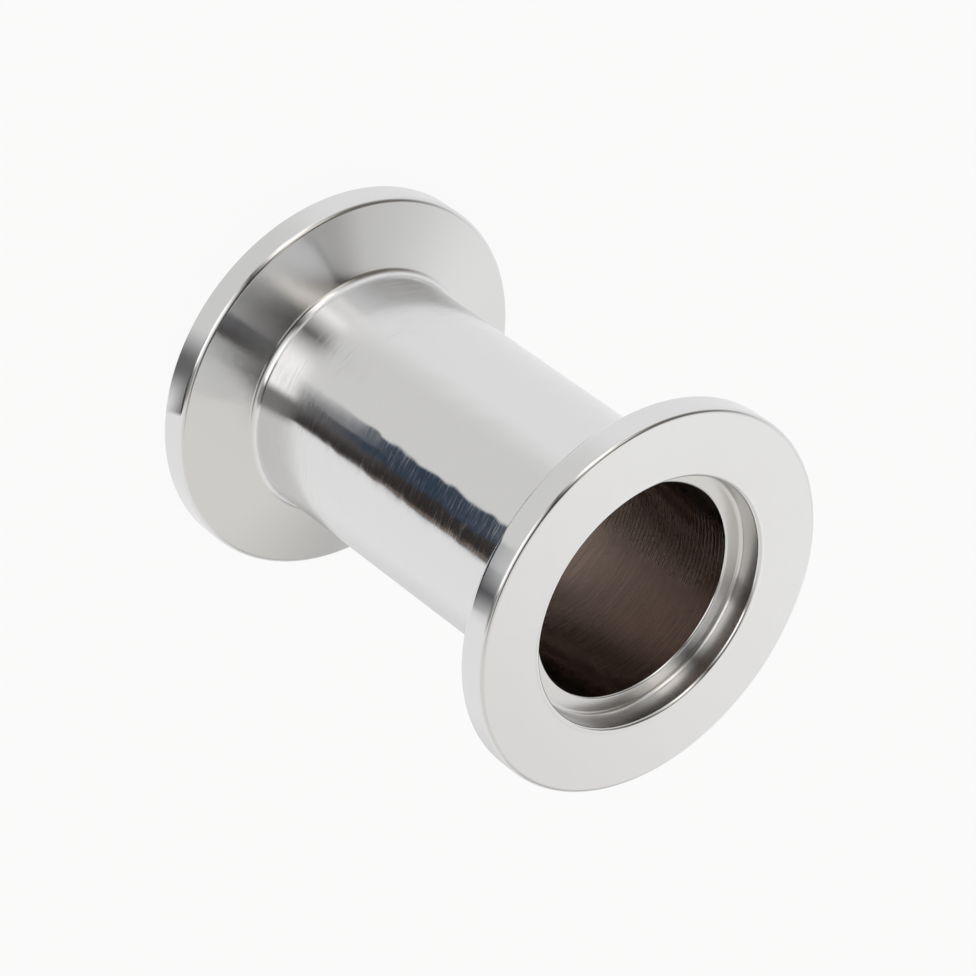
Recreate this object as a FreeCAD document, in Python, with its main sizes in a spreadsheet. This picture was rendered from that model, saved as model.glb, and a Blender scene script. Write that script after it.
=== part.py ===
"""Flanged straight tube: a short vacuum nipple turned from one piece of stainless bar.

The tube stands on its lower sealing face, with its axis on +Z and the origin at the centre of that face.
Each end carries a small flange: a flat sealing face, a narrow cylindrical land, and a conical back that a
clamp pulls against. A shallow recess in each sealing face takes a centring ring and ends at a flat ledge
around the through bore. The two ends are alike, so every size is written once and used at both.
All lengths are in millimetres and all angles in degrees.
"""
import FreeCAD, Part
import os
from math import pi, radians, tan

import Sketcher

NODE = "flanged_tube"
SHEET = "Sizes"

SIZES = {
    "overall_length": (50.0, "from one sealing face to the other"),
    "flange_diameter": (40.0, "over the cylindrical land of each flange"),
    "land_thickness": (3.0, "from the sealing face to where the conical back starts"),
    "cone_angle": (15.0, "slope of the conical back from a plane square to the axis"),
    "bore_diameter": (22.4, "clear passage right through the tube"),
    "tube_wall": (1.5, "wall of the plain tube between the flanges"),
    "ledge_width": (1.9, "flat ring left around the bore at the floor of each recess"),
    "recess_depth": (2.6, "from the sealing face down to the ledge"),
    "face_corner_chamfer": (0.3, "outer corner of the sealing face"),
    "back_corner_chamfer": (0.3, "corner between the land and the conical back"),
    "root_radius": (0.6, "inside corner where the conical back meets the tube"),
    "mouth_chamfer": (0.25, "corner where the sealing face drops into the recess"),
    "floor_radius": (0.5, "inside corner between the recess wall and the ledge"),
    "bore_edge_chamfer": (0.2, "edge where the ledge drops into the bore"),
}

# How far an edge may lie from the circle asked for and still be taken as that edge.
EDGE_TOLERANCE = 1e-4

# A sketch's own origin, as the geometry and point numbers that a constraint takes.
SKETCH_ORIGIN = (-1, 1)

# The two ways a corner is finished, and the property that sets the size of each.
CHAMFER = "PartDesign::Chamfer"
FILLET = "PartDesign::Fillet"
CORNER_SIZE = {CHAMFER: "Size", FILLET: "Radius"}


def size(name):
    """A driving size as a plain number."""
    return SIZES[name][0]


def cell(name):
    """The same size as an expression that reads the sheet."""
    return f"{SHEET}.{name}"


def make_sheet(doc):
    """Write the driving sizes, one a row: name, value and what it measures."""
    sheet = doc.addObject("Spreadsheet::Sheet", SHEET)
    for row, (name, (value, meaning)) in enumerate(SIZES.items(), start=1):
        sheet.set(f"A{row}", name)
        sheet.set(f"B{row}", str(value))
        sheet.setAlias(f"B{row}", name)
        sheet.set(f"C{row}", meaning)
    doc.recompute()
    return sheet


def origin_plane(body, role):
    """One of the body's own three origin planes."""
    return next(item for item in body.Origin.OriginFeatures if item.Role == role)


def new_sketch(body, name, role):
    """An empty sketch that lies on one of the body's origin planes."""
    sketch = body.newObject("Sketcher::SketchObject", name)
    sketch.AttachmentSupport = (origin_plane(body, role), "")
    sketch.MapMode = "FlatFace"
    return sketch


def drive(sketch, name, kind, where, value, expression):
    """Add one dimension to a sketch, name it and bind it to the sheet."""
    index = sketch.addConstraint(Sketcher.Constraint(kind, *where, value))
    sketch.renameConstraint(index, name)
    sketch.setExpression(f"Constraints.{name}", expression)


# Radii and heights that follow from the driving sizes, as numbers and as sheet expressions.
FLANGE_RADIUS = size("flange_diameter") / 2
BORE_RADIUS = size("bore_diameter") / 2
TUBE_RADIUS = BORE_RADIUS + size("tube_wall")
RECESS_RADIUS = BORE_RADIUS + size("ledge_width")
CONE_RISE = (FLANGE_RADIUS - TUBE_RADIUS) * tan(radians(size("cone_angle")))
ROOT_HEIGHT = size("land_thickness") + CONE_RISE

FLANGE_RADIUS_EXPR = f"{cell('flange_diameter')} / 2"
BORE_RADIUS_EXPR = f"{cell('bore_diameter')} / 2"
TUBE_RADIUS_EXPR = f"{BORE_RADIUS_EXPR} + {cell('tube_wall')}"
RECESS_RADIUS_EXPR = f"{BORE_RADIUS_EXPR} + {cell('ledge_width')}"


def round_corner(sketch, line, name, size_name):
    """Round the corner at the end of a line."""
    sketch.fillet(line, 2, size(size_name))
    arc = len(sketch.Geometry) - 1
    drive(sketch, name, "Radius", (arc,), size(size_name), cell(size_name))


def draw_outside(sketch):
    """Draw the half-section of the outside, from the axis out, as straight lines joined end to end."""
    length = size("overall_length")
    land = size("land_thickness")
    outline = {
        "lower_face": (0, 0),
        "lower_land": (FLANGE_RADIUS, 0),
        "lower_cone": (FLANGE_RADIUS, land),
        "tube": (TUBE_RADIUS, ROOT_HEIGHT),
        "upper_cone": (TUBE_RADIUS, length - ROOT_HEIGHT),
        "upper_land": (FLANGE_RADIUS, length - land),
        "upper_face": (FLANGE_RADIUS, length),
        "axis": (0, length),
    }
    starts = [FreeCAD.Vector(x, y, 0) for x, y in outline.values()]
    line = {}
    for name, start, end in zip(outline, starts, starts[1:] + starts[:1]):
        line[name] = sketch.addGeometry(Part.LineSegment(start, end), False)
    order = list(line.values())
    for this, following in zip(order, order[1:] + order[:1]):
        sketch.addConstraint(Sketcher.Constraint("Coincident", this, 2, following, 1))
    for name in ("lower_face", "upper_face"):
        sketch.addConstraint(Sketcher.Constraint("Horizontal", line[name]))
    for name in ("lower_land", "tube", "upper_land", "axis"):
        sketch.addConstraint(Sketcher.Constraint("Vertical", line[name]))
    sketch.addConstraint(Sketcher.Constraint("Coincident", line["lower_face"], 1, *SKETCH_ORIGIN))
    sketch.addConstraint(Sketcher.Constraint("Equal", line["lower_face"], line["upper_face"]))
    return line


def turn_outside(body):
    """Turn the outside from bar: two flanges with conical backs and the plain tube between them."""
    sketch = new_sketch(body, "outside_section", "XZ_Plane")
    line = draw_outside(sketch)
    round_corner(sketch, line["lower_cone"], "lower_root_round", "root_radius")
    round_corner(sketch, line["tube"], "upper_root_round", "root_radius")

    drive(sketch, "length", "DistanceY", (line["axis"], 2, line["axis"], 1),
          size("overall_length"), cell("overall_length"))
    drive(sketch, "flange_radius", "DistanceX", (*SKETCH_ORIGIN, line["lower_land"], 1),
          FLANGE_RADIUS, FLANGE_RADIUS_EXPR)
    drive(sketch, "tube_radius", "DistanceX", (*SKETCH_ORIGIN, line["tube"], 1), TUBE_RADIUS, TUBE_RADIUS_EXPR)
    drive(sketch, "lower_land", "DistanceY", (line["lower_land"], 1, line["lower_land"], 2),
          size("land_thickness"), cell("land_thickness"))
    drive(sketch, "upper_land", "DistanceY", (line["upper_land"], 1, line["upper_land"], 2),
          size("land_thickness"), cell("land_thickness"))
    drive(sketch, "lower_slope", "Angle", (line["lower_cone"],),
          pi - radians(size("cone_angle")), f"180 deg - {cell('cone_angle')} * 1 deg")
    drive(sketch, "upper_slope", "Angle", (line["upper_cone"],),
          radians(size("cone_angle")), f"{cell('cone_angle')} * 1 deg")

    turned = body.newObject("PartDesign::Revolution", "turned_outside")
    turned.Profile = sketch
    turned.ReferenceAxis = (sketch, ["V_Axis"])
    turned.Angle = 360
    return turned


def cut_round(body, name, radius, radius_expression, height, height_expression, depth_expression, upward):
    """Bore a round hole into the body from the plane at the given height, up or down the axis."""
    sketch = new_sketch(body, f"{name}_circle", "XY_Plane")
    sketch.AttachmentOffset = FreeCAD.Placement(FreeCAD.Vector(0, 0, height), FreeCAD.Rotation())
    if height_expression:
        sketch.setExpression("AttachmentOffset.Base.z", height_expression)
    circle = sketch.addGeometry(Part.Circle(FreeCAD.Vector(), FreeCAD.Vector(0, 0, 1), radius), False)
    sketch.addConstraint(Sketcher.Constraint("Coincident", circle, 3, *SKETCH_ORIGIN))
    drive(sketch, "hole_radius", "Radius", (circle,), radius, radius_expression)
    hole = body.newObject("PartDesign::Pocket", name)
    hole.Profile = sketch
    hole.Type = "Length"
    hole.setExpression("Length", depth_expression)
    hole.Reversed = upward
    return hole


def circle_edges(shape, radius, heights):
    """Names of the circular edges about the axis that have this radius and lie at these heights."""
    found = []
    for index, edge in enumerate(shape.Edges, start=1):
        if not isinstance(edge.Curve, Part.Circle):
            continue
        same_radius = abs(edge.Curve.Radius - radius) < EDGE_TOLERANCE
        same_height = any(abs(edge.Curve.Center.z - height) < EDGE_TOLERANCE for height in heights)
        if same_radius and same_height:
            found.append(f"Edge{index}")
    return found


def finish_corner(doc, body, kind, name, size_name, radius, height):
    """Chamfer or round one corner of the profile at both ends, where it lies this far in from each face."""
    doc.recompute()
    base = body.Tip
    heights = (height, size("overall_length") - height)
    edges = circle_edges(base.Shape, radius, heights)
    if len(edges) != len(heights):
        raise RuntimeError(f"{name}: expected one edge at each end, found {edges}")
    corner = body.newObject(kind, name)
    corner.Base = (base, edges)
    corner.setExpression(CORNER_SIZE[kind], cell(size_name))
    return corner


def make_flanged_tube(doc):
    """Turn the outside, bore it through, cut the recess at each end, then finish the corners.

    The outer corners get a small chamfer. The inside ones keep the round that the tool's nose leaves.
    """
    body = doc.addObject("PartDesign::Body", NODE)
    body.Label = NODE
    turn_outside(body)
    doc.recompute()
    solid_volume = body.Shape.Volume

    length = size("overall_length")
    cut_round(body, "through_bore", BORE_RADIUS, BORE_RADIUS_EXPR,
              0, None, cell("overall_length"), upward=True)
    cut_round(body, "lower_recess", RECESS_RADIUS, RECESS_RADIUS_EXPR,
              0, None, cell("recess_depth"), upward=True)
    cut_round(body, "upper_recess", RECESS_RADIUS, RECESS_RADIUS_EXPR,
              length, cell("overall_length"), cell("recess_depth"), upward=False)
    doc.recompute()
    check_bored_volume(solid_volume, body.Shape.Volume)

    corners = [
        (CHAMFER, "face_corner", "face_corner_chamfer", FLANGE_RADIUS, 0),
        (CHAMFER, "back_corner", "back_corner_chamfer", FLANGE_RADIUS, size("land_thickness")),
        (FILLET, "recess_floor", "floor_radius", RECESS_RADIUS, size("recess_depth")),
        (CHAMFER, "recess_mouth", "mouth_chamfer", RECESS_RADIUS, 0),
        (CHAMFER, "bore_edge", "bore_edge_chamfer", BORE_RADIUS, size("recess_depth")),
    ]
    for kind, name, size_name, radius, height in corners:
        finish_corner(doc, body, kind, name, size_name, radius, height)
    doc.recompute()
    return body


def check_bored_volume(solid_volume, bored_volume):
    """The bore and the two recesses must take out exactly the metal that their sizes say."""
    bore_area = Part.Face(Part.Wire(Part.makeCircle(BORE_RADIUS))).Area
    recess_area = Part.Face(Part.Wire(Part.makeCircle(RECESS_RADIUS))).Area
    expected = bore_area * size("overall_length") + 2 * (recess_area - bore_area) * size("recess_depth")
    removed = solid_volume - bored_volume
    if abs(removed - expected) > expected * EDGE_TOLERANCE:
        raise RuntimeError(f"the bore and recesses removed {removed:.1f} mm3 instead of {expected:.1f}")


def check_document(doc):
    """Every object must have computed without an error, and every body must be one valid solid."""
    for item in doc.Objects:
        if "Invalid" in item.State or "Error" in item.State:
            raise RuntimeError(f"{item.Name} did not compute: {item.State}")
    for body in doc.findObjects("PartDesign::Body"):
        shape = body.Shape
        if shape.isNull() or not shape.isValid() or len(shape.Solids) != 1:
            raise RuntimeError(f"{body.Label} is not one valid solid")


def main():
    doc = FreeCAD.newDocument("FlangedTube")
    make_sheet(doc)
    tube = make_flanged_tube(doc)
    check_document(doc)
    os.makedirs("parts", exist_ok=True)
    tube.Shape.exportStep(f"parts/{tube.Label}.step")
    box = tube.Shape.optimalBoundingBox()
    print(f"{tube.Label}: {box.XLength:.2f} x {box.YLength:.2f} x {box.ZLength:.2f} mm,"
          f" {tube.Shape.Volume:.0f} mm3")


main()
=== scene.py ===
# %% [markdown]
# # A flanged straight tube in polished stainless steel
# The object is a short vacuum nipple, 50 mm long, turned from one piece of stainless bar. It has a small
# flange at each end with a shallow recess for a centring ring, and a clear bore right through.
# Polished metal has almost no colour of its own. What the eye sees is the room, bent by the shape, so this
# lesson spends its effort on three things: an exact outline, a finish with the marks of the tool still in
# it, and a studio worth reflecting.

# %% Libraries and the frame
from math import radians, tau

import bpy
from mathutils import Matrix, Quaternion, Vector


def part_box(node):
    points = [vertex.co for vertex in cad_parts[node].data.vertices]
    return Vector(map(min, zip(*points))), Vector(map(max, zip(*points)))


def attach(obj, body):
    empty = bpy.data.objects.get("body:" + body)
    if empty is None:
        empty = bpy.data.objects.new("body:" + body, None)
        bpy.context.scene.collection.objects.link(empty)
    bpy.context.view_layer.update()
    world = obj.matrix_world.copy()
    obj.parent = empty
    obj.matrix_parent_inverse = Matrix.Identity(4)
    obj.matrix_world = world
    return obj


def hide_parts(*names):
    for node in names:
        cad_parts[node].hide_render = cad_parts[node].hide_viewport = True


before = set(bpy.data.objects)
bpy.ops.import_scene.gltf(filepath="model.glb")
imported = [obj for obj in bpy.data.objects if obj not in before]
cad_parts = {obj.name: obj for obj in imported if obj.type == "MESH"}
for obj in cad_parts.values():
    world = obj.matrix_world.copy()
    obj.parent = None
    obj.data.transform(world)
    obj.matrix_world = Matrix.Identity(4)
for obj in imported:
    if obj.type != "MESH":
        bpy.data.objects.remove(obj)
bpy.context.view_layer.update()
MM = 0.001

# %% [markdown]
# ## Sizes of the tube
# The solid model fixes every size, and the same numbers are written here once, in millimetres. The solid
# has small chamfers on its outer corners. On the real tube the polishing wheel has rolled those corners
# over, and that is where the thin bright and dark lines sit, so here they are rounds of about the same
# reach. The root, where the cone runs into the tube, is blended a little wider for the same reason.

# %% Sizes in millimetres
LENGTH = 50.0
FLANGE_RADIUS = 20.0
TUBE_RADIUS = 12.7
BORE_RADIUS = 11.2
RECESS_RADIUS = 13.1
RECESS_DEPTH = 2.6
LAND = 3.0
CONE_ANGLE = 15.0

lowest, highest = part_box("flanged_tube")
print("the solid measures", [round((b - a) / MM, 3) for a, b in zip(lowest, highest)], "mm")

# %% [markdown]
# ## A helper for node trees
# Materials, the world and geometry nodes are all node trees, so one small function adds every node. It
# applies the node's settings and then fills its inputs, given by name in a dict or in order in a list. A
# plain value is set on the socket, a socket is linked to it, and a node stands for its own first output.
# Colours are written in sRGB hex, as a paint program shows them, and are turned into linear light.

# %% Add a node, read a colour
def fill_inputs(tree, node, inputs):
    for key, value in inputs.items() if isinstance(inputs, dict) else enumerate(inputs):
        if isinstance(value, bpy.types.Node):
            value = value.outputs[0]
        if isinstance(value, bpy.types.NodeSocket):
            tree.links.new(value, node.inputs[key])
        else:
            node.inputs[key].default_value = value


def add_node(tree, kind, inputs=(), **settings):
    node = tree.nodes.new(kind)
    for name, value in settings.items():
        setattr(node, name, value)
    fill_inputs(tree, node, inputs)
    return node


def linear(hex_colour):
    """Turn an sRGB hex colour into the linear numbers that the renderer works in."""
    channels = [int(hex_colour[i:i + 2], 16) / 255 for i in (1, 3, 5)]
    return (*(c / 12.92 if c <= 0.04045 else ((c + 0.055) / 1.055) ** 2.4 for c in channels), 1.0)


MATH = "ShaderNodeMath"
print("mid grey is", round(linear("#808080")[0], 3), "in linear light")

# %% [markdown]
# ## The camera
# A long lens from 45 cm away, looking down at 40 degrees, and rolled on its side by 126 degrees. The tube
# stands upright on its lower flange, yet in the picture it seems to lie at a slant, because the camera is
# turned and not the part.

# %% Camera
AIM = Vector((0.225, 0.355, 25.416)) * MM
EYE = Vector((0.0, -344.81, 319.58)) * MM
ROLL = radians(126.09)

lens = bpy.data.cameras.new("long_lens")
lens.lens = 175.05
lens.sensor_width = 36
camera = bpy.data.objects.new("camera", lens)
level = (AIM - EYE).to_track_quat("-Z", "Y")
turned = level @ Quaternion((0, 0, 1), ROLL)
camera.matrix_world = Matrix.Translation(EYE) @ turned.to_matrix().to_4x4()
bpy.context.collection.objects.link(camera)
bpy.context.scene.camera = camera
bpy.context.scene.view_settings.view_transform = "Standard"
print("camera to tube:", round((AIM - EYE).length / MM, 1), "mm")

# %% [markdown]
# ## The outline as a lathe would cut it
# A turned part is one half-section spun about its axis, so it follows a rule, and geometry nodes can hold
# the rule: twelve corners set from named sizes, a round on each, and one revolution. A Screw modifier on a
# drawn outline would do it too, but its corners would be bare numbers with no names.

# %% The tree and its named inputs
tree = bpy.data.node_groups.new("Turned tube", "GeometryNodeTree")
tree.is_modifier = True
tree.interface.new_socket("Geometry", in_out="OUTPUT", socket_type="NodeSocketGeometry")

LENGTHS = {
    "Length": LENGTH,
    "Bore radius": BORE_RADIUS,
    "Recess radius": RECESS_RADIUS,
    "Recess depth": RECESS_DEPTH,
    "Tube radius": TUBE_RADIUS,
    "Flange radius": FLANGE_RADIUS,
    "Land": LAND,
    "Bore edge round": 0.25,
    "Recess floor round": 0.5,
    "Recess mouth round": 0.35,
    "Face corner round": 0.45,
    "Back corner round": 0.65,
    "Root round": 0.9,
}
socket_id = {}
for name in LENGTHS:
    socket = tree.interface.new_socket(name, in_out="INPUT", socket_type="NodeSocketFloat")
    socket.subtype = "DISTANCE"
    socket_id[name] = socket.identifier
for name, socket_type in {
    "Cone angle": "NodeSocketFloat",
    "Steps around": "NodeSocketInt",
    "Steps per round": "NodeSocketInt",
    "Polished finish": "NodeSocketMaterial",
    "Turned finish": "NodeSocketMaterial",
    "Bored finish": "NodeSocketMaterial",
}.items():
    socket_id[name] = tree.interface.new_socket(name, in_out="INPUT", socket_type=socket_type).identifier
given = add_node(tree, "NodeGroupInput").outputs
print(len(socket_id), "named inputs")

# %% [markdown]
# A circle with twelve points is already a closed curve, so each point only has to move to its corner. Both
# ends are alike, and points 11 to 6 mirror points 0 to 5, so six corners are enough. They are counted from
# the bore edge round to the tube: bore edge, recess floor, recess mouth, face corner, back corner, root.
# The conical back meets the tube at a height that follows from the land, the two radii and the slope.

# %% Corner radii, depths and rounds
CORNERS = 12
index = add_node(tree, "GeometryNodeInputIndex")
is_upper = add_node(tree, MATH, [index, CORNERS / 2 - 0.5], operation="GREATER_THAN")
counted_back = add_node(tree, MATH, [CORNERS - 1, index], operation="SUBTRACT")
corner = add_node(tree, MATH, [index, counted_back], operation="MINIMUM")

cone_angle = add_node(tree, MATH, [given["Cone angle"]], operation="RADIANS")
slope = add_node(tree, MATH, [cone_angle], operation="TANGENT")
cone_reach = add_node(tree, MATH, [given["Flange radius"], given["Tube radius"]], operation="SUBTRACT")
root_depth = add_node(tree, MATH, [cone_reach, slope, given["Land"]], operation="MULTIPLY_ADD")

at_corner = {}
for quantity, values in {
    "radius": [given[name] for name in ("Bore radius", "Recess radius", "Recess radius",
                                        "Flange radius", "Flange radius", "Tube radius")],
    "depth": [given["Recess depth"], given["Recess depth"], 0.0, 0.0, given["Land"], root_depth],
    "round": [given[name] for name in ("Bore edge round", "Recess floor round", "Recess mouth round",
                                       "Face corner round", "Back corner round", "Root round")],
}.items():
    switch = add_node(tree, "GeometryNodeIndexSwitch", data_type="FLOAT")
    while len(switch.index_switch_items) < len(values):
        switch.index_switch_items.new()
    fill_inputs(tree, switch, [corner, *values])
    at_corner[quantity] = switch
print("set at each corner:", ", ".join(at_corner))

# %% [markdown]
# The section is swept along a circle that runs round the wall of the bore, so its points are measured out
# from that wall. With its normals held to Z up, the circle carries the section's X straight outwards and
# its Y straight down, which is why the heights go in with a minus sign.

# %% Section, rounds and revolution
flipped = add_node(tree, MATH, [given["Length"], at_corner["depth"]], operation="SUBTRACT")
gap = add_node(tree, MATH, [flipped, at_corner["depth"]], operation="SUBTRACT")
height = add_node(tree, MATH, [is_upper, gap, at_corner["depth"]], operation="MULTIPLY_ADD")
outwards = add_node(tree, MATH, [at_corner["radius"], given["Bore radius"]], operation="SUBTRACT")
downwards = add_node(tree, MATH, [height, -1.0], operation="MULTIPLY")
place = add_node(tree, "ShaderNodeCombineXYZ", {"X": outwards, "Y": downwards})

points = add_node(tree, "GeometryNodeCurvePrimitiveCircle", {"Resolution": CORNERS})
section = add_node(tree, "GeometryNodeSetPosition", {"Geometry": points, "Position": place})
rounded = add_node(tree, "GeometryNodeFilletCurve",
                   {"Curve": section, "Radius": at_corner["round"], "Count": given["Steps per round"]},
                   mode="POLY")
path = add_node(tree, "GeometryNodeCurvePrimitiveCircle",
                {"Radius": given["Bore radius"], "Resolution": given["Steps around"]})
upright = add_node(tree, "GeometryNodeSetCurveNormal", {"Curve": path}, mode="Z_UP")
spun = add_node(tree, "GeometryNodeCurveToMesh", {"Curve": upright, "Profile Curve": rounded})
# The sweep leaves every face looking into the metal, so they are all turned to look out of it.
outward = add_node(tree, "GeometryNodeFlipFaces", {"Mesh": spun})
smooth = add_node(tree, "GeometryNodeSetShadeSmooth", {"Geometry": outward})
print("nodes in the tree:", len(tree.nodes))

# %% [markdown]
# The outside is polished, the recess is left as it was turned and the bore as the boring bar cut it, so
# the mesh carries three finishes. The middle of each face says which. Polished goes on everything; turned
# on what lies within the recess, both in radius and in depth; and bored on the wall of the bore.

# %% Finishes by place
def add_off_axis(tree, spot):
    """Measure how far a spot lies from the axis of the tube."""
    across = add_node(tree, "ShaderNodeVectorMath", [spot, (1.0, 1.0, 0.0)], operation="MULTIPLY")
    return add_node(tree, "ShaderNodeVectorMath", [across], operation="LENGTH").outputs["Value"]


# A face that lies exactly on a limit counts as within it.
TOLERANCE = 0.02 * MM
position = add_node(tree, "GeometryNodeInputPosition")
off_axis = add_off_axis(tree, position)
up = add_node(tree, "ShaderNodeSeparateXYZ", [position]).outputs["Z"]
down = add_node(tree, MATH, [given["Length"], up], operation="SUBTRACT")
from_end = add_node(tree, MATH, [up, down], operation="MINIMUM")
dressed = add_node(tree, "GeometryNodeRealizeInstances", {"Geometry": smooth})
for name, tests in {"Polished finish": [],
                    "Turned finish": [(off_axis, "Recess radius"), (from_end, "Recess depth")],
                    "Bored finish": [(off_axis, "Bore radius")]}.items():
    chosen = True
    for measure, size_name in tests:
        limit = add_node(tree, MATH, [given[size_name], TOLERANCE], operation="ADD")
        within = add_node(tree, MATH, [measure, limit], operation="LESS_THAN")
        chosen = add_node(tree, MATH, [chosen, within], operation="MULTIPLY")
    dressed = add_node(tree, "GeometryNodeSetMaterial",
                       {"Geometry": dressed, "Selection": chosen, "Material": given[name]})
add_node(tree, "NodeGroupOutput", {"Geometry": dressed})
print("the tree ends in", dressed.name)

# %% [markdown]
# ## Marks that follow the lathe
# Every tool on a lathe leaves rings. A ring is a line of the same height and the same distance from the
# axis, so a pattern of rings needs one number, the sum of those two. Noise in four dimensions takes that
# number as its fourth and the point's real place as the other three: it changes quickly from ring to ring,
# and slowly along each one, so every ring fades in and out as a real scratch does.

# %% A material, and noise drawn out into rings
def new_material(name):
    material = bpy.data.materials.new(name)
    material.use_nodes = True
    material.node_tree.nodes.clear()
    return material


def add_ring_marks(nodes, spacing, run, detail):
    """Noise that changes over the spacing from ring to ring, and over the run along a ring, in mm."""
    spot = add_node(nodes, "ShaderNodeTexCoord").outputs["Object"]
    axes = add_node(nodes, "ShaderNodeSeparateXYZ", [spot]).outputs
    ring = add_node(nodes, MATH, [add_off_axis(nodes, spot), axes["Z"]], operation="ADD")
    ring_number = add_node(nodes, MATH, [ring, spacing * MM], operation="DIVIDE")
    slow_place = add_node(nodes, "ShaderNodeVectorMath", {0: spot, "Scale": 1 / (run * MM)},
                          operation="SCALE")
    return add_node(nodes, "ShaderNodeTexNoise",
                    {"Vector": slow_place, "W": ring_number, "Scale": 1.0, "Detail": detail},
                    noise_dimensions="4D").outputs["Fac"]


print("ring marks are 4D noise")

# %% [markdown]
# All three finishes are bare metal and end in the same shader. Rings too fine to see blur a reflection
# across them and hardly along them. The shader blurs along its tangent, which runs round the axis as the
# rings do, so a quarter turn lays the blur across them.

# %% Bare steel
QUARTER_TURN = 0.25


def finish_steel(nodes, hex_colour, roughness, one_way, relief):
    """End a material in bare steel. At one_way 1 it blurs across the rings and hardly along them."""
    tangent = add_node(nodes, "ShaderNodeTangent", direction_type="RADIAL", axis="Z")
    steel = add_node(nodes, "ShaderNodeBsdfPrincipled",
                     {"Base Color": linear(hex_colour), "Metallic": 1.0, "Roughness": roughness,
                      "Anisotropic": one_way, "Anisotropic Rotation": QUARTER_TURN, "Tangent": tangent,
                      "Normal": relief})
    add_node(nodes, "ShaderNodeOutputMaterial", {"Surface": steel})


print("the blur lies across the rings, turned by", QUARTER_TURN * 360, "degrees")

# %% [markdown]
# ## Stainless steel, turned and polished
# An austenitic stainless steel, turned and then polished on a wheel. It is close to a mirror. What keeps it
# from being one are rings from the wheel, far finer than the picture can show, so the shader's one-way
# blur stands for them. On top of that come two things that do show: fine scratches round the tube, and a
# slow unevenness from polishing by hand, which makes the edges of a reflection wander.

# %% Polished stainless steel
polished = new_material("Stainless steel, turned and polished")
nodes = polished.node_tree
spot = add_node(nodes, "ShaderNodeTexCoord").outputs["Object"]

# Scratches: some 0.02 mm apart on the real tube, drawn 0.15 mm apart so that they show.
scratches = add_ring_marks(nodes, spacing=0.15, run=2.0, detail=2.0)
scratched = add_node(nodes, "ShaderNodeMapRange",
                     {"Value": scratches, "From Min": 0.52, "From Max": 0.7, "To Min": 0.0, "To Max": 0.09})
# The flanges were faced flat and polished last, so they hardly show the marks of the wheel.
on_tube = add_node(nodes, "ShaderNodeMapRange",
                   {"Value": add_off_axis(nodes, spot), "From Min": TUBE_RADIUS * MM,
                    "From Max": (TUBE_RADIUS + 1) * MM, "To Min": 1.0, "To Max": 0.15})
# Clouds some 8 mm across, where the wheel pressed more or less.
clouds = add_node(nodes, "ShaderNodeTexNoise", {"Vector": spot, "Scale": 1 / (8 * MM), "Detail": 2.0})
gloss = add_node(nodes, "ShaderNodeMapRange",
                 {"Value": clouds, "From Min": 0.3, "From Max": 0.7, "To Min": 0.11, "To Max": 0.14})
# The wheel reached the upper end better and pressed harder there.
up = add_node(nodes, "ShaderNodeSeparateXYZ", [spot]).outputs["Z"]
pressed = add_node(nodes, "ShaderNodeMapRange",
                   {"Value": up, "From Min": 8 * MM, "From Max": 24 * MM, "To Min": 0.1, "To Max": 1.0})
glossier = add_node(nodes, MATH, [pressed, -0.035, gloss], operation="MULTIPLY_ADD")
roughness = add_node(nodes, MATH, [scratched, on_tube, glossier], operation="MULTIPLY_ADD")
# It left hollows about 3 mm across and a few hundredths deep.
hollows = add_node(nodes, "ShaderNodeTexNoise", {"Vector": spot, "Scale": 1 / (3 * MM), "Detail": 1.0})
dented = add_node(nodes, MATH, [pressed, on_tube], operation="MULTIPLY")
hollow_depth = add_node(nodes, MATH, [hollows, dented], operation="MULTIPLY")
uneven = add_node(nodes, "ShaderNodeBump", {"Height": hollow_depth, "Distance": 0.07 * MM, "Strength": 1.0})
relief = add_node(nodes, "ShaderNodeBump",
                  {"Height": scratches, "Distance": 0.0006 * MM, "Strength": 1.0, "Normal": uneven})
finish_steel(nodes, "#E0E0E0", roughness, one_way=1.0, relief=relief)
print(polished.name, "has", len(nodes.nodes), "nodes")

# %% [markdown]
# ## Stainless steel, turned
# The recess is too narrow for a wheel. Its floor and wall stay as the turning tool left them, so they show
# clear rings and blur more, still mostly across the rings.

# %% Turned stainless steel
turned_steel = new_material("Stainless steel, turned")
nodes = turned_steel.node_tree
# Turning rings about 0.15 mm apart, which is a usual feed for a finishing cut.
rings = add_ring_marks(nodes, spacing=0.15, run=12.0, detail=1.0)
relief = add_node(nodes, "ShaderNodeBump", {"Height": rings, "Distance": 0.0015 * MM, "Strength": 1.0})
finish_steel(nodes, "#DAD9D8", roughness=0.18, one_way=1.0, relief=relief)
print(turned_steel.name, "has", len(nodes.nodes), "nodes")

# %% [markdown]
# ## Stainless steel, bored
# Inside, the boring bar has left a fine helical groove, about 0.5 mm from one turn to the next, and nobody
# polished it away. The ridge between two turns is the crest of a sine along the helix. On one side of the
# bore the bar chattered and tore the ridges; everywhere else only hairlines show, drawn out round the wall.
# Its colour is darker and browner than the polished steel's: painted shade and a painted warm tint, standing
# for light that has already lost its blue to the steel on its way down the bore.

# %% Bored stainless steel
bored = new_material("Stainless steel, bored, with painted shade")
nodes = bored.node_tree
FEED = 0.5 * MM
TORN_SIDE = (-0.64, 0.77, 0.0)
spot = add_node(nodes, "ShaderNodeTexCoord").outputs["Object"]
axes = add_node(nodes, "ShaderNodeSeparateXYZ", [spot]).outputs
angle = add_node(nodes, MATH, [axes["Y"], axes["X"]], operation="ARCTAN2")
phase = add_node(nodes, MATH, [axes["Z"], tau / FEED, angle], operation="MULTIPLY_ADD")
ripple = add_node(nodes, MATH, [phase], operation="SINE")
upper_half = add_node(nodes, MATH, [ripple, 0.0], operation="MAXIMUM")
crest = add_node(nodes, MATH, [upper_half, 3.0], operation="POWER")
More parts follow.
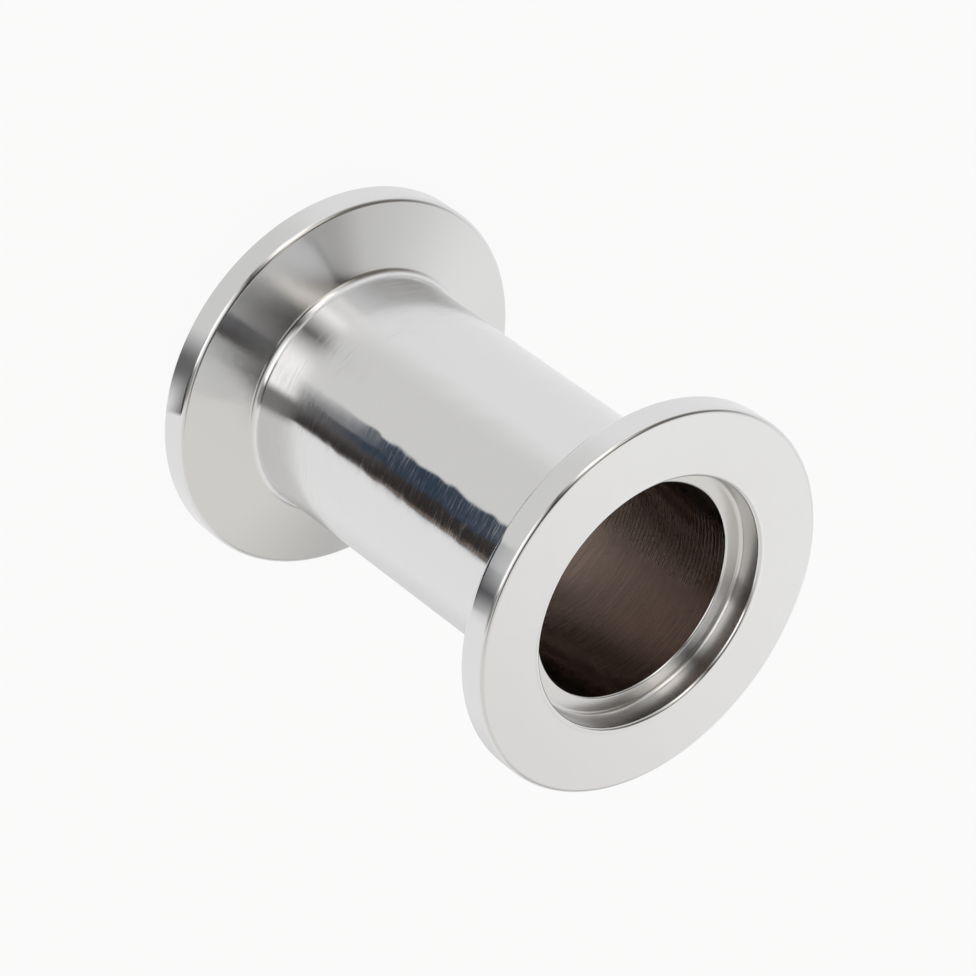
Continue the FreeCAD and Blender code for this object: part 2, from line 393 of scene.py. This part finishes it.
# The bar chattered on one side, in patches some 8 mm across, and there the crests are torn.
one_side = add_node(nodes, "ShaderNodeVectorMath", [spot, TORN_SIDE], operation="DOT_PRODUCT")
near = add_node(nodes, "ShaderNodeMapRange",
                {"Value": one_side.outputs["Value"], "From Min": 0.91 * BORE_RADIUS * MM,
                 "From Max": 0.97 * BORE_RADIUS * MM})
patches = add_node(nodes, "ShaderNodeTexNoise", {"Vector": spot, "Scale": 1 / (8 * MM), "Detail": 0.0})
chatter = add_node(nodes, "ShaderNodeMapRange", {"Value": patches, "From Min": 0.4, "From Max": 0.55})
strong = add_node(nodes, MATH, [near, chatter], operation="MULTIPLY")
torn = add_node(nodes, MATH, [crest, strong], operation="MULTIPLY")
# Hairlines lie some 0.05 mm apart on the real wall, drawn 0.27 mm apart so that they show. Where the bar
# tore the ridges, the ridges hide most of them.
hair_lines = add_ring_marks(nodes, spacing=0.27, run=5.0, detail=1.0)
hair_depth = add_node(nodes, MATH, [strong, -1.7, 2.3], operation="MULTIPLY_ADD")
marks = add_node(nodes, MATH, [hair_lines, hair_depth, torn], operation="MULTIPLY_ADD")
relief = add_node(nodes, "ShaderNodeBump", {"Height": marks, "Distance": 0.004 * MM, "Strength": 1.0})
dull = add_node(nodes, "ShaderNodeMapRange",
                {"Value": hair_lines, "From Min": 0.35, "From Max": 0.65, "To Min": 0.10, "To Max": 0.22})
roughness = add_node(nodes, MATH, [torn, 0.4, dull], operation="MULTIPLY_ADD")
one_way = add_node(nodes, "ShaderNodeMapRange", {"Value": torn, "To Min": 0.8, "To Max": 0.0})
# The darker, browner colour is painted shade and tint, not the colour of bored steel.
finish_steel(nodes, "#BDB1AA", roughness, one_way, relief)
print(bored.name, "has", len(nodes.nodes), "nodes")

# %% [markdown]
# ## From the rule to a mesh
# The modifier's inputs are set before anything is evaluated. The result is then copied out as a plain
# mesh, and the object with the modifier is removed. Weighted normals keep the flat faces truly flat next to
# the small rounds, which matters on a mirror: a normal that leans by one degree moves a reflection by two.

# %% Build the tube
source = bpy.data.objects.new("turned_tube_source", bpy.data.meshes.new("turned_tube_source"))
bpy.context.collection.objects.link(source)
turning = source.modifiers.new("Turning", "NODES")
turning.node_group = tree
for name, millimetres in LENGTHS.items():
    turning[socket_id[name]] = millimetres * MM
for name, value in {"Cone angle": CONE_ANGLE, "Steps around": 512, "Steps per round": 9,
                    "Polished finish": polished, "Turned finish": turned_steel,
                    "Bored finish": bored}.items():
    turning[socket_id[name]] = value
weighting = source.modifiers.new("Flat faces first", "WEIGHTED_NORMAL")
weighting.weight = 100
evaluated = source.evaluated_get(bpy.context.evaluated_depsgraph_get())
mesh = bpy.data.meshes.new_from_object(evaluated)
bpy.data.objects.remove(source)

tube = bpy.data.objects.new("steel_tube", mesh)
bpy.context.collection.objects.link(tube)
print(len(mesh.polygons), "faces,", [m.name for m in mesh.materials])
measured = [max(v.co[i] for v in mesh.vertices) - min(v.co[i] for v in mesh.vertices) for i in range(3)]
print("the turned mesh measures", [round(side / MM, 3) for side in measured], "mm")
mesh.calc_loop_triangles()
triangles = [[mesh.vertices[i].co for i in triangle.vertices] for triangle in mesh.loop_triangles]
volume = sum(a.dot(b.cross(c)) for a, b, c in triangles) / 6
print("it holds", round(volume / MM ** 3), "cubic mm; above zero, so its faces look outwards")

# %% It stands for the solid
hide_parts("flanged_tube")
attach(tube, "root")
print(tube.name, "stands for flanged_tube")

# %% [markdown]
# ## The table
# A plain white sheet. The camera should see clean white with only a breath of shadow round the foot of the
# tube, so the sheet glows by itself and takes a little from the lights. Inside the foot the glow is painted
# light and shade: brightest in the middle, where light comes only down the bore, and dying away to painted
# shade towards the wall.

# %% Table
def add_sheet(name, half_width, height, material):
    corners = [(x * half_width, y * half_width, height) for x, y in ((-1, -1), (1, -1), (1, 1), (-1, 1))]
    plate = bpy.data.meshes.new(name)
    plate.from_pydata(corners, [], [(0, 1, 2, 3)])
    plate.materials.append(material)
    sheet = bpy.data.objects.new(name, plate)
    bpy.context.collection.objects.link(sheet)
    return sheet


paper = new_material("White paper sheet, lit from all sides")
nodes = paper.node_tree
matt = add_node(nodes, "ShaderNodeBsdfDiffuse", {"Color": linear("#F6F6F5")})
glow = add_node(nodes, "ShaderNodeEmission", {"Color": linear("#FFFFFF"), "Strength": 1.0})
# Only the camera and reflections see the glow. To every other ray the sheet is matt paper.
rays = add_node(nodes, "ShaderNodeLightPath").outputs
bent = add_node(nodes, MATH, [rays["Is Glossy Ray"], rays["Is Transmission Ray"]], operation="MAXIMUM")
seen = add_node(nodes, MATH, [rays["Is Camera Ray"], bent], operation="MAXIMUM")
spot = add_node(nodes, "ShaderNodeTexCoord").outputs["Object"]
off_axis = add_off_axis(nodes, spot)
# Painted light and shade inside the foot: what the camera sees down the bore, and what the wall of the bore
# reflects, bright in the middle and dark towards the wall.
painted_glow_down_bore = add_node(nodes, "ShaderNodeMapRange",
                     {"Value": off_axis, "From Min": 0.0, "From Max": BORE_RADIUS * MM,
                      "To Min": 0.75, "To Max": 0.3}, interpolation_type="SMOOTHSTEP")
painted_glow_for_reflections = add_node(nodes, "ShaderNodeMapRange",
                     {"Value": off_axis, "From Min": 0.36 * BORE_RADIUS * MM,
                      "From Max": 0.54 * BORE_RADIUS * MM, "To Min": 1.0, "To Max": 0.06},
                     interpolation_type="SMOOTHSTEP")
# A mix node keeps its float sockets in places 0, 2 and 3.
inside = add_node(nodes, "ShaderNodeMix", {0: rays["Is Camera Ray"], 2: painted_glow_for_reflections, 3: painted_glow_down_bore},
                  data_type="FLOAT")
# Painted shade under the wall of the tube: the glow fades out from the tube's outside in towards the bore.
outside = add_node(nodes, "ShaderNodeMapRange",
                   {"Value": off_axis, "From Min": BORE_RADIUS * MM, "From Max": TUBE_RADIUS * MM,
                    "To Min": 0.0, "To Max": 0.9})
glow_here = add_node(nodes, MATH, [inside, outside], operation="MAXIMUM")
share = add_node(nodes, MATH, [seen, glow_here], operation="MULTIPLY")
surface = add_node(nodes, "ShaderNodeMixShader", [share, matt, glow])
add_node(nodes, "ShaderNodeOutputMaterial", {"Surface": surface})
REACH = 3.0
add_sheet("table", REACH, height=0.0, material=paper)
print("table", REACH * 2, "m across")

# %% [markdown]
# ## The studio
# A white tent gives the steel its light grey. Dark cards give it shape: a tall one beside the camera draws
# a dark stripe down the tube, and softer ones overhead darken the cone. All of them are far away
# compared with the tube, so they can be painted straight into the world as soft-edged panels, each placed
# by its azimuth from +Y and its elevation. One panel is a node group, so that the studio is a plain list.

# %% One panel as a group
panel = bpy.data.node_groups.new("Studio panel", "ShaderNodeTree")
PANEL_INPUTS = {"Below": "Color", "Towards": "Vector", "Height here": "Float", "Azimuth": "Float",
                "Half width": "Float", "Side softness": "Float", "Bottom": "Float", "Top": "Float",
                "End softness": "Float", "Colour": "Color"}
for name, kind in PANEL_INPUTS.items():
    panel.interface.new_socket(name, in_out="INPUT", socket_type="NodeSocket" + kind)
panel.interface.new_socket("Light", in_out="OUTPUT", socket_type="NodeSocketColor")
on = add_node(panel, "NodeGroupInput").outputs

axes = add_node(panel, "ShaderNodeSeparateXYZ", [on["Towards"]]).outputs
azimuth = add_node(panel, MATH, [axes["X"], axes["Y"]], operation="ARCTAN2")
azimuth_here = add_node(panel, MATH, [azimuth], operation="DEGREES")
turn = add_node(panel, MATH, [azimuth_here, on["Azimuth"]], operation="SUBTRACT")
wrapped = add_node(panel, MATH, [turn, 180.0, -180.0], operation="WRAP")
sideways = add_node(panel, MATH, [wrapped], operation="ABSOLUTE")

total = add_node(panel, MATH, [on["Bottom"], on["Top"]], operation="ADD")
middle = add_node(panel, MATH, [total, 0.5], operation="MULTIPLY")
half_length = add_node(panel, MATH, [on["Top"], middle], operation="SUBTRACT")
from_middle = add_node(panel, MATH, [on["Height here"], middle], operation="SUBTRACT")
lengthways = add_node(panel, MATH, [from_middle], operation="ABSOLUTE")

# Each edge is a smooth step from one inside to zero outside, centred on the edge.
steps = []
for distance, reach, softness in ((sideways, on["Half width"], on["Side softness"]),
                                  (lengthways, half_length, on["End softness"])):
    start = add_node(panel, MATH, [softness, -0.5, reach], operation="MULTIPLY_ADD")
    end = add_node(panel, MATH, [softness, 0.5, reach], operation="MULTIPLY_ADD")
    steps.append(add_node(panel, "ShaderNodeMapRange",
                          {"Value": distance, "From Min": start, "From Max": end,
                           "To Min": 1.0, "To Max": 0.0}, interpolation_type="SMOOTHSTEP"))
cover = add_node(panel, MATH, steps, operation="MULTIPLY")
# A mix node keeps its colour sockets in places 6 and 7, and its colour result in place 2.
mixed = add_node(panel, "ShaderNodeMix", {0: cover, 6: on["Below"], 7: on["Colour"]}, data_type="RGBA")
add_node(panel, "NodeGroupOutput", {"Light": mixed.outputs[2]})
print("the panel group has", len(panel.nodes), "nodes")

# %% [markdown]
# The tent's own light, then its panels, one laid over another: azimuth, half width and side softness in
# degrees; bottom, top and end softness in degrees above the horizon; then the light, where 1 is white.
# The camera itself sees plain white.

# %% The white tent
def lay_panels(nodes, towards, height_here, plain, panels):
    """Lay the panels over the plain light, one after another, and return the light that results."""
    light = (*plain, 1.0)
    for name, (azimuth, half_width, side_softness, bottom, top, end_softness, colour) in panels.items():
        light = add_node(nodes, "ShaderNodeGroup",
                         [light, towards, height_here, azimuth, half_width, side_softness, bottom, top,
                          end_softness, (*colour, 1.0)], node_tree=panel, label=name)
    return light


TENT_LIGHT = (0.975, 0.975, 0.975)
TENT = {
    "back light": (18.5, 25, 5, -25, 52, 14, (1.60, 1.63, 1.69)),
    "right shade": (26, 18, 16, 2, 99, 17, (0.23, 0.23, 0.24)),
    "left haze": (-77, 36, 43, 19, 120, 38, (0.165, 0.15, 0.133)),
    "left shade": (-52, 16.5, 12, 60, 97, 10, (0.062, 0.057, 0.053)),
    "right haze": (64, 74, 48, 16, 92, 48, (0.82, 0.80, 0.77)),
    "key light": (-138, 13, 5, 20, 67, 22, (1.61, 1.55, 1.50)),
    "camera side light": (172.7, 46, 10, -40, 25, 4, (1.72, 1.68, 1.65)),
    "top shade": (165, 79, 11, 54, 120, 23, (0.055, 0.05, 0.045)),
    "camera shade": (-165, 11, 35, -10, 88, 7, (0.034, 0.03, 0.025)),
    "tall flag": (132.4, 10, 9, -60, 40, 17, (0.30, 0.29, 0.28)),
    "overhead light": (-109, 14, 18, 47, 75, 10, (1.05, 0.98, 0.89)),
}
world = bpy.data.worlds.new("White tent with flags")
world.use_nodes = True
world.node_tree.nodes.clear()
bpy.context.scene.world = world
nodes = world.node_tree
direction = add_node(nodes, "ShaderNodeTexCoord").outputs["Generated"]
axes = add_node(nodes, "ShaderNodeSeparateXYZ", [direction]).outputs
sine = add_node(nodes, MATH, [axes["Z"]], operation="ARCSINE")
elevation = add_node(nodes, MATH, [sine], operation="DEGREES")
tent = lay_panels(nodes, direction, elevation, TENT_LIGHT, TENT)
studio = add_node(nodes, "ShaderNodeBackground", {"Color": tent, "Strength": 1.0})
white = add_node(nodes, "ShaderNodeBackground", {"Color": linear("#FFFFFF"), "Strength": 1.0})
is_camera_ray = add_node(nodes, "ShaderNodeLightPath").outputs["Is Camera Ray"]
backdrop = add_node(nodes, "ShaderNodeMixShader", [is_camera_ray, studio, white])
add_node(nodes, "ShaderNodeOutputWorld", {"Surface": backdrop})
print(len(TENT), "panels in the tent")

# %% [markdown]
# ## Painted shade and reflections on the table
# The tube's wall stands upright, so a camera that looks down at it sees only the table in it. The dark cards
# have to reach down there too, so a sheet on the table carries painted shade and painted reflections of the
# flag: a filter, dark where the flag's reflection and the shade fall.
# Light, shadow and the camera pass it by. Only reflections see it. Its panels fan out from one point under
# the tube: azimuth, half width and side softness in degrees; start, end and end softness in millimetres
# from that point; then how much light the film lets through.

# %% Painted shade and reflections on the table
FAN_POINT = (0.36, -7.46)
CLEAR_FILM = (0.99, 0.99, 0.99)
# Every panel is painted shade or a painted reflection: the camera's shade, shade towards the tube's edges,
# and the flag with its hem, foot and fold reaching down onto the table.
PAINTED_SHADES_ON_FILM = {
    "camera shade": (-173, 43.5, 40, -100, 6000, 5, (0.815, 0.81, 0.805)),
    "left edge shade": (26, 26, 44, 16, 200, 12, (0.79, 0.79, 0.79)),
    "right edge shade": (-77, 45, 30, 8, 143, 12, (0.97, 0.97, 0.975)),
    "far flag": (135, 7, 22, 32, 6000, 12, (0.083, 0.083, 0.098)),
    "flag": (135, 11.8, 2, 16, 69, 4, (0.036, 0.029, 0.028)),
    "flag hem": (126, 1.0, 1, 34, 66, 10, (0.19, 0.13, 0.10)),
    "flag foot": (145, 10, 17, 0, 27, 28, (0.167, 0.165, 0.17)),
    "flag fold": (151, 10, 4, 25.5, 67, 12, (0.037, 0.055, 0.087)),
}
film = new_material("Film of painted shade and reflections")
nodes = film.node_tree
spot = add_node(nodes, "ShaderNodeTexCoord").outputs["Object"]
millimetres = add_node(nodes, "ShaderNodeVectorMath", [spot, (1 / MM, 1 / MM, 0.0)], operation="MULTIPLY")
fanned = add_node(nodes, "ShaderNodeVectorMath", [millimetres, (*FAN_POINT, 0.0)], operation="SUBTRACT")
distance = add_node(nodes, "ShaderNodeVectorMath", [fanned], operation="LENGTH").outputs["Value"]
shade = lay_panels(nodes, fanned, distance, CLEAR_FILM, PAINTED_SHADES_ON_FILM)
clear = add_node(nodes, "ShaderNodeBsdfTransparent", {"Color": shade})
add_node(nodes, "ShaderNodeOutputMaterial", {"Surface": clear})
film_sheet = add_sheet("painted_shade_on_table", REACH, height=0.1 * MM, material=film)
for use in ("camera", "diffuse", "transmission", "shadow"):
    setattr(film_sheet, "visible_" + use, False)
print(len(PAINTED_SHADES_ON_FILM), "dark places on the film")
